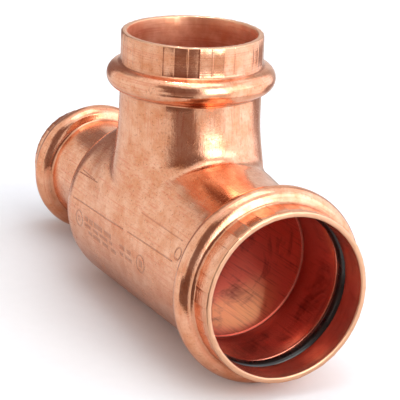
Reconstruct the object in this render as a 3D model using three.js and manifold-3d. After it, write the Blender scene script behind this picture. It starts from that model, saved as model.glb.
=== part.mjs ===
// Reducing press-connect tee for copper tube: one formed copper body and its three sealing rings.
// Units are mm. The run lies along X with its large socket at +X, and the branch rises along +Z.
// The origin is where the centre lines of the run and of the branch cross.
import * as THREE from 'three';
import Module from 'manifold-3d';

// Sizes and clearances that all three sockets share.
const TUBE_CLEARANCE = 0.15;          // radial gap between a tube and its socket bore
const RING_SECTION = 3.0;             // thickness of a sealing ring
const RING_SQUEEZE = 0.16;            // how far a ring reaches inside its tube's outside radius
const RING_CLEARANCE = 0.3;           // gap between a ring and each side of its channel
const CHANNEL_CROWN_ROOM = 0.3;       // how much further out than the ring the channel is centred
const CHANNEL_LIP = 0.7;              // rounding of the bore at the two lips of a channel
const BEAD_WALL = 1.06;               // copper left around the channel once the bead is rolled
const BEAD_ROOT_FILLET = 0.8;         // outside fillet where a bead meets the straight wall
const TUBE_STOP_STEP = 0.5;           // how far the bore closes in at the end of a socket
const TUBE_STOP_BEVEL = 0.35;         // length of the bevel on that step
const RIM_BREAK_OUTSIDE = 0.3;        // broken edge outside a rim
const RIM_BREAK_INSIDE = 0.25;        // broken edge inside a rim

// The sockets. The guide is the plain cylinder from the rim in to the bead.
const LARGE_RUN_SOCKET = {
  tubeDiameter: 34.925,               // 1-1/4 in copper tube
  insertionDepth: 25.4,
  guideLength: 9.03,                  // from the rim to the middle of the bead
  guideWall: 1.39,
  barrelWall: 1.54,                   // over the bore, behind the bead
};
const SMALL_RUN_SOCKET = {
  tubeDiameter: 22.225,               // 3/4 in copper tube
  insertionDepth: 22.2,
  guideLength: 8.8,
  guideWall: 1.29,
  barrelWall: 1.34,
};
const BRANCH_SOCKET = {
  tubeDiameter: 28.575,               // 1 in copper tube
  insertionDepth: 22.2,
  guideLength: 9.8,
  guideWall: 1.41,
  barrelWall: 1.33,
};

// The formed body between the sockets, worked out from the foot of the branch.
const JUNCTION_FILLET = 4.0;          // outside fillet all round the foot of the branch
const FILLET_TO_LARGE_STOP = 3.73;    // from that fillet's foot to the large run tube stop
const FILLET_TO_BRANCH_STOP = 0.45;   // from that fillet's top to the branch tube stop
const FILLET_TO_SHOULDER = 0.9;       // from that fillet's foot to the reducing shoulder
const SHOULDER_RADIUS = 10.9;         // outside rounding of the shoulder
const SHOULDER_TOE_FILLET = 2.0;      // outside fillet where the shoulder runs out into the neck
const NECK_TO_SMALL_STOP = 5.2;       // straight neck from that fillet to the small run tube stop

// Fineness of the faceted solids.
const FACETS_AROUND = 40;
const FACETS_PER_QUARTER = 3;
const FACETS_PER_FILLET = 2;
const FACETS_PER_SHOULDER = 5;
const FACETS_PER_JUNCTION = 4;
const FACETS_PER_RING_SECTION = 12;
const CUT_OVERRUN = 1.0;              // how far a cutting solid runs past the face it opens
const WELD_DEPTH = 0.6;               // how deep the junction fillet is set into the walls it joins
const CORNER_STEPS_PER_MM = 1e4;      // corners closer than one step are the same corner

const COPPER = { color: 0xd98a63, roughness: 0.28, metalness: 1.0 };
const EPDM = { color: 0x17171a, roughness: 0.5, metalness: 0.0 };

const QUARTER_TURN = Math.PI / 2;
const CHANNEL_HALF_WIDTH = RING_SECTION / 2 + RING_CLEARANCE;

const wasm = await Module();
wasm.setup();

// Works out a socket's radii from its own sizes and the shared clearances.
function socketRadii(size) {
  const tube = size.tubeDiameter / 2;
  const bore = tube + TUBE_CLEARANCE;
  const ringCentre = tube - RING_SQUEEZE + RING_SECTION / 2;
  return {
    bore,
    guide: bore + size.guideWall,
    barrel: bore + size.barrelWall,
    waterway: bore - TUBE_STOP_STEP,
    ringCentre,
    channelCentre: ringCentre + CHANNEL_CROWN_ROOM,
  };
}

// Places a socket: how far its stop, bead and rim lie from the crossing of the centre lines.
function placeSocket(size, stopAt) {
  const rimAt = stopAt + size.insertionDepth;
  return { radius: socketRadii(size), stopAt, rimAt, beadAt: rimAt - size.guideLength };
}

// Points [radius, along] on an arc in a profile. Angles are in radians, 0 along the centre line and
// a quarter turn straight out from it.
function arc(centre, radius, from, to, facets) {
  const points = [];
  for (let i = 0; i <= facets; i += 1) {
    const angle = from + ((to - from) * i) / facets;
    points.push([centre[0] + radius * Math.sin(angle), centre[1] + radius * Math.cos(angle)]);
  }
  return points;
}

// The fillet that lets a round run out into a straight wall. side is +1 or -1, the way along the
// wall that the fillet lies from the round. leaveAngle is where the fillet takes over the round.
function rootFillet(round, wallRadius, filletRadius, side) {
  const lift = wallRadius + filletRadius - round.centre[0];
  const along = side * Math.sqrt((round.radius + filletRadius) ** 2 - lift ** 2);
  const leaveAngle = Math.atan2(lift, along);
  const centre = [wallRadius + filletRadius, round.centre[1] + along];
  const points = arc(centre, filletRadius, -QUARTER_TURN, leaveAngle - Math.PI, FACETS_PER_FILLET);
  return { leaveAngle, wallEnd: centre[1], points };
}

// A socket's outside from its rim to the far root of its bead.
function socketOutside(socket) {
  const { guide, barrel, channelCentre } = socket.radius;
  const round = { centre: [channelCentre, socket.beadAt], radius: CHANNEL_HALF_WIDTH + BEAD_WALL };
  const near = rootFillet(round, guide, BEAD_ROOT_FILLET, 1);
  const far = rootFillet(round, barrel, BEAD_ROOT_FILLET, -1);
  return [
    [guide - RIM_BREAK_OUTSIDE, socket.rimAt],
    [guide, socket.rimAt - RIM_BREAK_OUTSIDE],
    ...near.points.slice(0, -1),
    ...arc(round.centre, round.radius, near.leaveAngle, QUARTER_TURN, FACETS_PER_QUARTER),
    ...arc(round.centre, round.radius, QUARTER_TURN, far.leaveAngle, FACETS_PER_QUARTER).slice(1),
    ...far.points.reverse().slice(1),
  ];
}

// A socket's hollow from beyond its rim to just past its tube stop, with the channel of its bead.
function socketInside(socket) {
  const { bore, waterway, channelCentre } = socket.radius;
  const lipAway = CHANNEL_HALF_WIDTH + CHANNEL_LIP;
  const nearLip = [bore + CHANNEL_LIP, socket.beadAt + lipAway];
  const farLip = [bore + CHANNEL_LIP, socket.beadAt - lipAway];
  return [
    [bore + RIM_BREAK_INSIDE, socket.rimAt + CUT_OVERRUN],
    [bore + RIM_BREAK_INSIDE, socket.rimAt],
    [bore, socket.rimAt - RIM_BREAK_INSIDE],
    ...arc(nearLip, CHANNEL_LIP, -QUARTER_TURN, -Math.PI, FACETS_PER_FILLET),
    ...arc([channelCentre, socket.beadAt], CHANNEL_HALF_WIDTH, 0, Math.PI, 2 * FACETS_PER_QUARTER),
    ...arc(farLip, CHANNEL_LIP, 0, -QUARTER_TURN, FACETS_PER_FILLET),
    [bore, socket.stopAt],
    [waterway, socket.stopAt - TUBE_STOP_BEVEL],
  ];
}

// The reducing shoulder from a barrel radius down to a neck radius, starting startAt along. inset is
// how far inside the outer skin it runs. toeAt is where it has become the straight neck.
function shoulder(barrelRadius, neckRadius, startAt, inset) {
  const radius = SHOULDER_RADIUS - inset;
  const round = { centre: [barrelRadius - radius, startAt], radius };
  const toe = rootFillet(round, neckRadius, SHOULDER_TOE_FILLET + inset, 1);
  const profile = [
    ...arc(round.centre, radius, QUARTER_TURN, toe.leaveAngle, FACETS_PER_SHOULDER),
    ...toe.points.reverse().slice(1),
  ];
  return { profile, toeAt: toe.wallEnd };
}

// Lays a profile that was worked out towards +X the other way, towards -X.
function towardsMinusX(profile) {
  return profile.map(([radius, along]) => [radius, -along]);
}

// Closes a profile onto the centre line at both ends and revolves it about Y.
function revolved(profile) {
  const first = profile[0];
  const last = profile[profile.length - 1];
  const closed = [[0, first[1]], ...profile, [0, last[1]]];
  const points = closed.map(([radius, along]) => new THREE.Vector2(radius, along)).reverse();
  return new THREE.LatheGeometry(points, FACETS_AROUND);
}

// A closed solid from a geometry, with shared corners joined and empty triangles dropped.
function solidFrom(geometry) {
  const flat = geometry.index ? geometry.toNonIndexed() : geometry;
  const position = flat.getAttribute('position');
  const numbers = new Map();
  const vertices = [];
  const corners = [];
  for (let i = 0; i < position.count; i += 1) {
    const at = [position.getX(i), position.getY(i), position.getZ(i)];
    const key = at.map((value) => Math.round(value * CORNER_STEPS_PER_MM)).join(' ');
    if (!numbers.has(key)) {
      numbers.set(key, vertices.length / 3);
      vertices.push(...at);
    }
    corners.push(numbers.get(key));
  }
  const triangles = [];
  for (let i = 0; i < corners.length; i += 3) {
    const [a, b, c] = corners.slice(i, i + 3);
    if (a !== b && b !== c && c !== a) {
      triangles.push(a, b, c);
    }
  }
  return new wasm.Manifold(new wasm.Mesh({
    numProp: 3,
    vertProperties: new Float32Array(vertices),
    triVerts: new Uint32Array(triangles),
  }));
}

// A solid of revolution about the run's centre line, from a profile along +X.
function aboutRun(profile) {
  return solidFrom(revolved(profile).rotateZ(-QUARTER_TURN));
}

// A solid of revolution about the branch's centre line, from a profile along +Z.
function aboutBranch(profile) {
  return solidFrom(revolved(profile).rotateX(QUARTER_TURN));
}

// One section of the ring that a ball rolls out between the run's and the branch's cylinders, at an
// angle around the branch. It starts on the run, ends on the branch and closes inside both.
function junctionSection(runRadius, branchRadius, ballRadius, angle) {
  const outward = new THREE.Vector3(Math.cos(angle), Math.sin(angle), 0);
  const centre = outward.clone().multiplyScalar(branchRadius + ballRadius);
  centre.z = Math.sqrt((runRadius + ballRadius) ** 2 - centre.y ** 2);
  const toRun = new THREE.Vector3(0, -centre.y, -centre.z).normalize();
  const toBranch = outward.clone().negate();
  const spread = toRun.angleTo(toBranch);
  const section = [];
  for (let i = 0; i <= FACETS_PER_JUNCTION; i += 1) {
    const t = i / FACETS_PER_JUNCTION;
    const ray = toRun.clone().multiplyScalar(Math.sin((1 - t) * spread));
    ray.addScaledVector(toBranch, Math.sin(t * spread)).divideScalar(Math.sin(spread));
    section.push(centre.clone().addScaledVector(ray, ballRadius));
  }
  const insideBranch = outward.clone().multiplyScalar(branchRadius - WELD_DEPTH);
  insideBranch.z = centre.z;
  const corner = insideBranch.clone();
  corner.z = Math.sqrt((runRadius - WELD_DEPTH) ** 2 - corner.y ** 2);
  const insideRun = section[0].clone().addScaledVector(toRun, WELD_DEPTH);
  return [...section, insideBranch, corner, insideRun];
}

// The whole ring of that fillet as a closed solid.
function junctionRing(runRadius, branchRadius, ballRadius) {
  const sections = [];
  for (let i = 0; i < FACETS_AROUND; i += 1) {
    const angle = (2 * Math.PI * i) / FACETS_AROUND;
    sections.push(junctionSection(runRadius, branchRadius, ballRadius, angle));
  }
  const positions = [];
  for (let i = 0; i < FACETS_AROUND; i += 1) {
    const here = sections[i];
    const next = sections[(i + 1) % FACETS_AROUND];
    for (let j = 0; j < here.length; j += 1) {
      const k = (j + 1) % here.length;
      const quad = [here[j], next[j], next[k], here[j], next[k], here[k]];
      quad.forEach((point) => positions.push(point.x, point.y, point.z));
    }
  }
  const geometry = new THREE.BufferGeometry();
  geometry.setAttribute('position', new THREE.Float32BufferAttribute(positions, 3));
  return solidFrom(geometry);
}

// A named mesh from a solid, with flat facets.
function meshFrom(name, solid, finish) {
  const { vertProperties, triVerts } = solid.getMesh();
  const indexed = new THREE.BufferGeometry();
  indexed.setAttribute('position', new THREE.Float32BufferAttribute(vertProperties, 3));
  indexed.setIndex(Array.from(triVerts));
  const geometry = indexed.toNonIndexed();
  geometry.computeVertexNormals();
  const mesh = new THREE.Mesh(geometry, new THREE.MeshStandardMaterial(finish));
  mesh.name = name;
  return mesh;
}

// A sealing ring lying in its channel, with its centre line along Z and its middle at the origin.
function sealingRing(name, socket) {
  const geometry = new THREE.TorusGeometry(
    socket.radius.ringCentre, RING_SECTION / 2, FACETS_PER_RING_SECTION, FACETS_AROUND);
  const mesh = new THREE.Mesh(geometry, new THREE.MeshStandardMaterial(EPDM));
  mesh.name = name;
  return mesh;
}

// The three sockets and the reducing shoulder, placed outward from the foot of the branch.
function layOut() {
  const runRadius = socketRadii(LARGE_RUN_SOCKET).barrel;
  const neckRadius = socketRadii(SMALL_RUN_SOCKET).barrel;
  const filletFoot = socketRadii(BRANCH_SOCKET).barrel + JUNCTION_FILLET;
  const filletTop = runRadius + JUNCTION_FILLET;
  const shoulderAt = filletFoot + FILLET_TO_SHOULDER;
  const { toeAt } = shoulder(runRadius, neckRadius, shoulderAt, 0);
  return {
    large: placeSocket(LARGE_RUN_SOCKET, filletFoot + FILLET_TO_LARGE_STOP),
    small: placeSocket(SMALL_RUN_SOCKET, toeAt + NECK_TO_SMALL_STOP),
    branch: placeSocket(BRANCH_SOCKET, filletTop + FILLET_TO_BRANCH_STOP),
    shoulderAt,
  };
}

// The one-piece copper body: everything outside less everything inside.
function bodySolid({ large, small, branch, shoulderAt }) {
  const radii = (wallName) => ({
    run: large.radius[wallName],
    neck: small.radius[wallName],
    branch: branch.radius[wallName],
  });
  const outer = radii('barrel');
  const inner = radii('waterway');
  const wall = outer.run - inner.run;
  const runOutside = aboutRun([
    ...socketOutside(large),
    ...towardsMinusX(shoulder(outer.run, outer.neck, shoulderAt, 0).profile),
    ...towardsMinusX(socketOutside(small).reverse()),
  ]);
  const runInside = aboutRun([
    ...socketInside(large),
    ...towardsMinusX(shoulder(inner.run, inner.neck, shoulderAt, wall).profile),
    ...towardsMinusX(socketInside(small).reverse()),
  ]);
  const branchOutside = aboutBranch([...socketOutside(branch), [outer.branch, 0]]);
  const branchInside = aboutBranch([...socketInside(branch), [inner.branch, 0]]);
  const outside = runOutside
    .add(branchOutside)
    .add(junctionRing(outer.run, outer.branch, JUNCTION_FILLET));
  const inside = runInside
    .add(branchInside)
    .add(junctionRing(inner.run, inner.branch, JUNCTION_FILLET + wall));
  return outside.subtract(inside);
}

const layout = layOut();
const tee = new THREE.Group();
tee.name = 'reducing_press_tee';
tee.add(meshFrom('tee_body', bodySolid(layout), COPPER));

const largeRing = sealingRing('run_large_oring', layout.large);
largeRing.geometry.rotateY(QUARTER_TURN).translate(layout.large.beadAt, 0, 0);
tee.add(largeRing);

const smallRing = sealingRing('run_small_oring', layout.small);
smallRing.geometry.rotateY(QUARTER_TURN).translate(-layout.small.beadAt, 0, 0);
tee.add(smallRing);

const branchRing = sealingRing('branch_oring', layout.branch);
branchRing.geometry.translate(0, 0, layout.branch.beadAt);
tee.add(branchRing);

export default tee;
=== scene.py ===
"""Looks of a reducing press-connect tee for copper tube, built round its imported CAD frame.

The copper body is drawn again as one fine closed skin on the CAD's own sizes, and the three sealing
rings as moulded rings in their channels. Sizes are in millimetres and are turned to metres where a
mesh is made. The run lies along X with its large socket at +X, and the branch rises along +Z.
"""

from __future__ import annotations

import logging
import math
from collections.abc import Sequence
from dataclasses import dataclass, field
from enum import Enum

import bmesh
import bpy
import numpy as np
from mathutils import Matrix, Vector
from mathutils.kdtree import KDTree

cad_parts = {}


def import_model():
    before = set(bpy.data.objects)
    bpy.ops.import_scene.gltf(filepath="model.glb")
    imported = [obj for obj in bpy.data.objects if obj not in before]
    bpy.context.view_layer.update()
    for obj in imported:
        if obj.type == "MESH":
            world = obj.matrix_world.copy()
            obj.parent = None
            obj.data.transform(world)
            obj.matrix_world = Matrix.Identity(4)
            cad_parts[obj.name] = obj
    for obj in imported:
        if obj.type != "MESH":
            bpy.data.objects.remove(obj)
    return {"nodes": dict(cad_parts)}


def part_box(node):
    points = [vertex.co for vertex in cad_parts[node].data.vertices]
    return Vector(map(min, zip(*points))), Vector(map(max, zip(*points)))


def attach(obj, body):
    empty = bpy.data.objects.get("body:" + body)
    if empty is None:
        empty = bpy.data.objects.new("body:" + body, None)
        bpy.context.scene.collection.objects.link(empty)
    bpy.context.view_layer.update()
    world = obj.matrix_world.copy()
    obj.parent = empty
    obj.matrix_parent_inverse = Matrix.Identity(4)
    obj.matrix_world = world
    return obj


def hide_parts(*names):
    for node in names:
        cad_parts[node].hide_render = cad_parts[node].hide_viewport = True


MM = 0.001
BODY = "root"
QUARTER_TURN = math.pi / 2
LOG = logging.getLogger("press_tee")

Point = tuple[float, float]  # radius and distance along a centre line, in millimetres
Spot = tuple[float, float, float]
Tree = bpy.types.NodeTree
Output = bpy.types.NodeSocket


class Line(Enum):
    """The two centre lines that the tee is turned about."""

    RUN = "run"
    BRANCH = "branch"


# ---------------------------------------------------------------------------------------------
# Profiles, sheets and meshes
# ---------------------------------------------------------------------------------------------


def arc(centre: Point, radius: float, start: float, end: float, steps: int) -> list[Point]:
    """Points on an arc in a profile.

    Args:
        centre: The arc's centre, as radius and distance along.
        radius: The arc's radius.
        start: Where it starts, in radians from the way along the centre line.
        end: Where it ends, measured the same way.
        steps: How many steps it is drawn in.

    Returns:
        The points from start to end, both included.
    """
    angles = np.linspace(start, end, steps + 1)
    return [(centre[0] + radius * math.sin(a), centre[1] + radius * math.cos(a)) for a in angles]


def straight(start: Point, end: Point, steps: int) -> list[Point]:
    """Points on a straight line in a profile, both ends included."""
    shares = np.linspace(0.0, 1.0, steps + 1)
    return [tuple(np.array(start) * (1 - s) + np.array(end) * s) for s in shares]


def without_repeats(profile: Sequence[Point], closest: float = 1e-4) -> list[Point]:
    """Drops the points that fall on the one before them.

    Args:
        profile: The points.
        closest: How close counts as the same point.

    Returns:
        The points that are left.
    """
    kept = [profile[0]]
    for point in profile[1:]:
        if math.dist(point, kept[-1]) > closest:
            kept.append(point)
    return kept


def smoothstep(value: np.ndarray) -> np.ndarray:
    """0 below 0, 1 above 1 and a smooth rise between."""
    held = np.clip(value, 0.0, 1.0)
    return held * held * (3.0 - 2.0 * held)


def on_line(line: Line, angles: np.ndarray, radius: np.ndarray, along: np.ndarray) -> np.ndarray:
    """Points about a centre line.

    Args:
        line: The centre line.
        angles: From +Z towards +Y about the run, from +X towards +Y about the branch.
        radius: Distances from the centre line.
        along: Places along the centre line.

    Returns:
        The points, with X, Y and Z in the last axis.
    """
    angles, radius, along = np.broadcast_arrays(angles, radius, along)
    if line is Line.RUN:
        return np.stack([along, radius * np.sin(angles), radius * np.cos(angles)], axis=-1)
    return np.stack([radius * np.cos(angles), radius * np.sin(angles), along], axis=-1)


@dataclass
class Fillet:
    """A fillet that lets a round run out into a straight wall."""

    points: list[Point]
    leave_angle: float
    wall_end: float

    @classmethod
    def at_root(
        cls, centre: Point, radius: float, wall: float, fillet: float, side: int, steps: int
    ) -> Fillet:
        """Works out the fillet between a round and a wall.

        Args:
            centre: The round's centre.
            radius: The round's radius.
            wall: The wall's radius about the centre line.
            fillet: The fillet's own radius.
            side: +1 or -1, the way along the wall that the fillet lies from the round.
            steps: How many steps it is drawn in.

        Returns:
            The fillet, with its points running from the wall to the round.
        """
        lift = wall + fillet - centre[0]
        along = side * math.sqrt((radius + fillet) ** 2 - lift**2)
        leave = math.atan2(lift, along)
        middle = (wall + fillet, centre[1] + along)
        start, end = (-QUARTER_TURN, leave - math.pi) if side > 0 else (1.5 * math.pi, leave + math.pi)
        return cls(arc(middle, fillet, start, end, steps), leave, middle[1])


@dataclass
class Sheet:
    """A strip of skin in rows of points, with what the finish needs to know about it.

    Inside is 1 on the hollow's skin, rim is 1 on a cut edge, sized is 1 where a tool rolled or
    squeezed the wall to size, and haze is 1 where the hollow is dull.
    """

    points: np.ndarray
    closed: bool = True
    inside: float = 0.0
    rim: np.ndarray | float = 0.0
    sized: np.ndarray | float = 0.0
    haze: np.ndarray | float = 0.0

    def marks(self, name: str) -> np.ndarray:
        """One of the sheet's values for each of its points, in one row."""
        rows = np.asarray(getattr(self, name), dtype=float).reshape(-1, 1)
        return np.broadcast_to(rows, self.points.shape[:2]).ravel()

    def faces(self, first: int) -> np.ndarray:
        """The sheet's four-sided faces.

        Args:
            first: The number of the sheet's first point.

        Returns:
            Four point numbers for each face.
        """
        rows, columns = self.points.shape[:2]
        index = first + np.arange(rows * columns).reshape(rows, columns)
        if self.closed:
            index = np.concatenate([index, index[:, :1]], axis=1)
        corners = [index[:-1, :-1], index[1:, :-1], index[1:, 1:], index[:-1, 1:]]
        return np.stack(corners, axis=-1).reshape(-1, 4)


MARK_NAMES = ("inside", "rim", "sized", "haze")
BEND_NAMES = ("crease", "edge")
SAME_POINT = 3e-6  # metres; border points closer than this are one point


def weld(name: str, sheets: Sequence[Sheet]) -> bpy.types.Object:
    """Joins sheets into one smooth mesh, in metres, linked to the scene.

    Args:
        name: The object's name.
        sheets: Strips that share their border points.

    Returns:
        The new object.
    """
    faces = []
    count = 0
    for sheet in sheets:
        faces.append(sheet.faces(count))
        count += sheet.points.shape[0] * sheet.points.shape[1]
    points = np.concatenate([sheet.points.reshape(-1, 3) for sheet in sheets])
    mesh = bpy.data.meshes.new(name)
    mesh.from_pydata((points * MM).tolist(), [], np.concatenate(faces).tolist())
    for mark in MARK_NAMES:
        values = np.concatenate([sheet.marks(mark) for sheet in sheets])
        mesh.attributes.new(mark, "FLOAT", "POINT").data.foreach_set("value", values)
    work = bmesh.new()
    work.from_mesh(mesh)
    bmesh.ops.remove_doubles(work, verts=work.verts, dist=SAME_POINT)
    bmesh.ops.recalc_face_normals(work, faces=work.faces)
    open_edges = sum(1 for edge in work.edges if not edge.is_manifold)
    work.to_mesh(mesh)
    work.free()
    mesh.shade_smooth()
    LOG.info("%s: %d faces, %d open edges", name, len(mesh.polygons), open_edges)
    made = bpy.data.objects.new(name, mesh)
    bpy.context.scene.collection.objects.link(made)
    return made


def read_points(mesh: bpy.types.Mesh) -> np.ndarray:
    """Reads the mesh's points.

    Args:
        mesh: The mesh.

    Returns:
        The points in millimetres.
    """
    flat = np.empty(len(mesh.vertices) * 3)
    mesh.vertices.foreach_get("co", flat)
    return flat.reshape(-1, 3) / MM


def read_normals(mesh: bpy.types.Mesh) -> np.ndarray:
    """Reads the mesh's outward normals.

    Args:
        mesh: The mesh.

    Returns:
        A normal for each point.
    """
    flat = np.empty(len(mesh.vertices) * 3)
    mesh.vertex_normals.foreach_get("vector", flat)
    return flat.reshape(-1, 3)


def read_mark(mesh: bpy.types.Mesh, name: str) -> np.ndarray:
    """Reads one of the finish's values.

    Args:
        mesh: The mesh.
        name: The value's name.

    Returns:
        The value at each point.
    """
    flat = np.empty(len(mesh.vertices))
    mesh.attributes[name].data.foreach_get("value", flat)
    return flat


def mark_bends(mesh: bpy.types.Mesh, tight_hollow: float = 0.45, tight_edge: float = 2.0) -> None:
    """Adds a crease value to the points in tight hollows and an edge value to those on tight edges.

    Args:
        mesh: The mesh.
        tight_hollow: The curvature, in one over millimetres, that counts as a full crease.
        tight_edge: The curvature that counts as a full edge.
    """
    points, normals = read_points(mesh), read_normals(mesh)
    flat = np.empty(len(mesh.edges) * 2, dtype=np.int32)
    mesh.edges.foreach_get("vertices", flat)
    starts, ends = flat[0::2], flat[1::2]
    steps = points[ends] - points[starts]
    lengths = np.maximum(np.sum(steps * steps, axis=1), 1e-6)
    neighbours = np.maximum(np.bincount(flat, minlength=len(points)), 1)
    bend = np.zeros(len(points))
    for here, way in ((starts, steps), (ends, -steps)):
        np.add.at(bend, here, np.sum(normals[here] * way, axis=1) / lengths)
    bend /= neighbours
    for name, tightest in zip(BEND_NAMES, (tight_hollow, -tight_edge)):
        mark = smoothstep(bend / tightest)
        for _ in range(2):
            spread = np.zeros(len(points))
            np.add.at(spread, starts, mark[ends])
            np.add.at(spread, ends, mark[starts])
            mark = 0.5 * mark + 0.5 * spread / neighbours
        mesh.attributes.new(name, "FLOAT", "POINT").data.foreach_set("value", mark)


# ---------------------------------------------------------------------------------------------
# What forming leaves in the wall
# ---------------------------------------------------------------------------------------------


@dataclass(frozen=True)
class Ripple:
    """Smooth seeded unevenness, a sum of waves that run in all directions."""

    depth: float
    longest: float
    shortest: float
    waves: int
    seed: int

    def at(self, points: np.ndarray) -> np.ndarray:
        """How deep the ripple is.

        Args:
            points: The points, in millimetres.

        Returns:
            A depth for each point, from 0 to the ripple's own.
        """
        random = np.random.default_rng(self.seed)
        total = np.zeros(len(points))
        for _ in range(self.waves):
            direction = random.normal(size=3)
            direction /= np.linalg.norm(direction)
            length = random.uniform(self.shortest, self.longest)
            phase = random.uniform(0, 2 * math.pi)
            total += np.sin(points @ direction * (2 * math.pi / length) + phase)
        return self.depth * (0.5 + 0.5 * np.clip(total / math.sqrt(self.waves), -1.0, 1.0))


@dataclass(frozen=True)
class WitnessMarks:
    """The lengthways marks that a segmented sizing tool leaves round a guide."""

    pitch_degrees: float = 10.0
    ridge_height: float = 0.055
    ridge_width: float = 0.13
    sector_hollow: float = 0.03
    sector_tilt: float = 0.032
    seed: int = 5

    def at(self, angles: np.ndarray, radius: float) -> np.ndarray:
        """How far the guide stands in from its drawn radius at each angle, 0 or below.

        Args:
            angles: Angles round the guide, in radians.
            radius: The guide's radius.

        Returns:
            One offset for each angle.
        """
        pitch = math.radians(self.pitch_degrees)
        sectors = int(round(2 * math.pi / pitch))
        number = np.floor(angles / pitch + 1e-9).astype(int) % sectors
        share = np.mod(angles / pitch + 1e-9, 1.0)
        nearest = np.minimum(share, 1.0 - share) * pitch * radius
        random = np.random.default_rng(self.seed)
        tilts = random.uniform(-1.0, 1.0, sectors)[number]
        depths = random.uniform(0.5, 1.0, sectors)[number]
        bow = 4.0 * share * (1.0 - share)
        hollow = self.sector_hollow * depths * bow
        tilt = self.sector_tilt * tilts * (2.0 * share - 1.0) * bow
        ridge = self.ridge_height * (1.0 - np.exp(-((nearest / self.ridge_width) ** 2)))
        return -np.maximum(hollow + tilt + ridge, 0.0)


# ---------------------------------------------------------------------------------------------
# The copper body
# ---------------------------------------------------------------------------------------------


@dataclass
class Socket:
    """One press socket: a guide, a bead round a ring channel, a bore and a tube stop."""

    line: Line
    side: int
    rim_at: float
    ring_at: float
    ring_centre: float
    ring_section: float
    tube_diameter: float
    insertion_depth: float
    guide_wall: float
    barrel_wall: float
    tube_clearance: float = 0.15
    channel_side_room: float = 0.3
    channel_crown_room: float = 0.3
    channel_lip: float = 0.45
    bead_wall: float = 1.06
    bead_root_fillet: float = 0.8
    tube_stop_step: float = 0.5
    tube_stop_round: float = 0.14
    rim_round_outside: float = 0.42
    rim_round_inside: float = 0.34
    bead_steps: int = 6
    root_steps: int = 4
    fillet_steps: int = 3
    rim_steps: int = 3
    guide_steps: int = 3
    bore_steps: int = 4

    @property
    def bore(self) -> float:
        """The bore's radius."""
        return self.tube_diameter / 2 + self.tube_clearance

    @property
    def guide(self) -> float:
        """The guide's outside radius."""
        return self.bore + self.guide_wall

    @property
    def barrel(self) -> float:
        """The outside radius behind the bead."""
        return self.bore + self.barrel_wall

    @property
    def waterway(self) -> float:
        """The radius past the tube stop."""
        return self.bore - self.tube_stop_step

    @property
    def stop_at(self) -> float:
        """Where the tube stop is."""
        return self.rim_at - self.insertion_depth

    @property
    def channel_half(self) -> float:
        """Half the width of the ring channel."""
        return self.ring_section / 2 + self.channel_side_room

    @property
    def bead_half(self) -> float:
        """Half the width of the bead outside."""
        return self.channel_half + self.bead_wall

    @property
    def bead_centre(self) -> Point:
        """The middle of the bead's round."""
        return (self.ring_centre + self.channel_crown_room, self.ring_at)

    def outside(self) -> list[Point]:
        """Draws the outside.

        Returns:
            The profile from the rim's flat to the far root of the bead.
        """
        near, far = (
            Fillet.at_root(
                self.bead_centre, self.bead_half, wall, self.bead_root_fillet, side, self.root_steps
            )
            for wall, side in ((self.guide, 1), (self.barrel, -1))
        )
        corner = (self.guide - self.rim_round_outside, self.rim_at - self.rim_round_outside)
        start, end = (self.guide, corner[1]), (self.guide, near.wall_end)
        return without_repeats([
            *arc(corner, self.rim_round_outside, 0.0, QUARTER_TURN, self.rim_steps),
            *straight(start, end, self.guide_steps),
            *near.points,
            *arc(self.bead_centre, self.bead_half, near.leave_angle, QUARTER_TURN, self.bead_steps),
            *arc(self.bead_centre, self.bead_half, QUARTER_TURN, far.leave_angle, self.bead_steps),
            *far.points[::-1],
        ])

    def inside(self) -> list[Point]:
        """Draws the hollow.

        Returns:
            The profile from the rim's flat to just past the tube stop.
        """
        half = self.channel_half
        lip = self.channel_lip
        near_lip = (self.bore + lip, self.ring_at + half + lip)
        far_lip = (self.bore + lip, self.ring_at - half - lip)
        corner = (self.bore + self.rim_round_inside, self.rim_at - self.rim_round_inside)
        edge = self.tube_stop_round
        root = (self.bore - edge, self.stop_at + edge)
        nose = (self.waterway + edge, self.stop_at - edge)
        return without_repeats([
            *arc(corner, self.rim_round_inside, 0.0, -QUARTER_TURN, self.rim_steps),
            *straight((self.bore, corner[1]), (self.bore, near_lip[1]), self.guide_steps),
            *arc(near_lip, lip, -QUARTER_TURN, -math.pi, self.fillet_steps),
            *arc(self.bead_centre, half, 0.0, math.pi, 2 * self.bead_steps - 4),
            *arc(far_lip, lip, 0.0, -QUARTER_TURN, self.fillet_steps),
            *straight((self.bore, far_lip[1]), (self.bore, root[1]), self.bore_steps),
            *arc(root, edge, QUARTER_TURN, math.pi, self.fillet_steps),
            *arc(nose, edge, 0.0, -QUARTER_TURN, self.fillet_steps),
        ])


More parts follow.
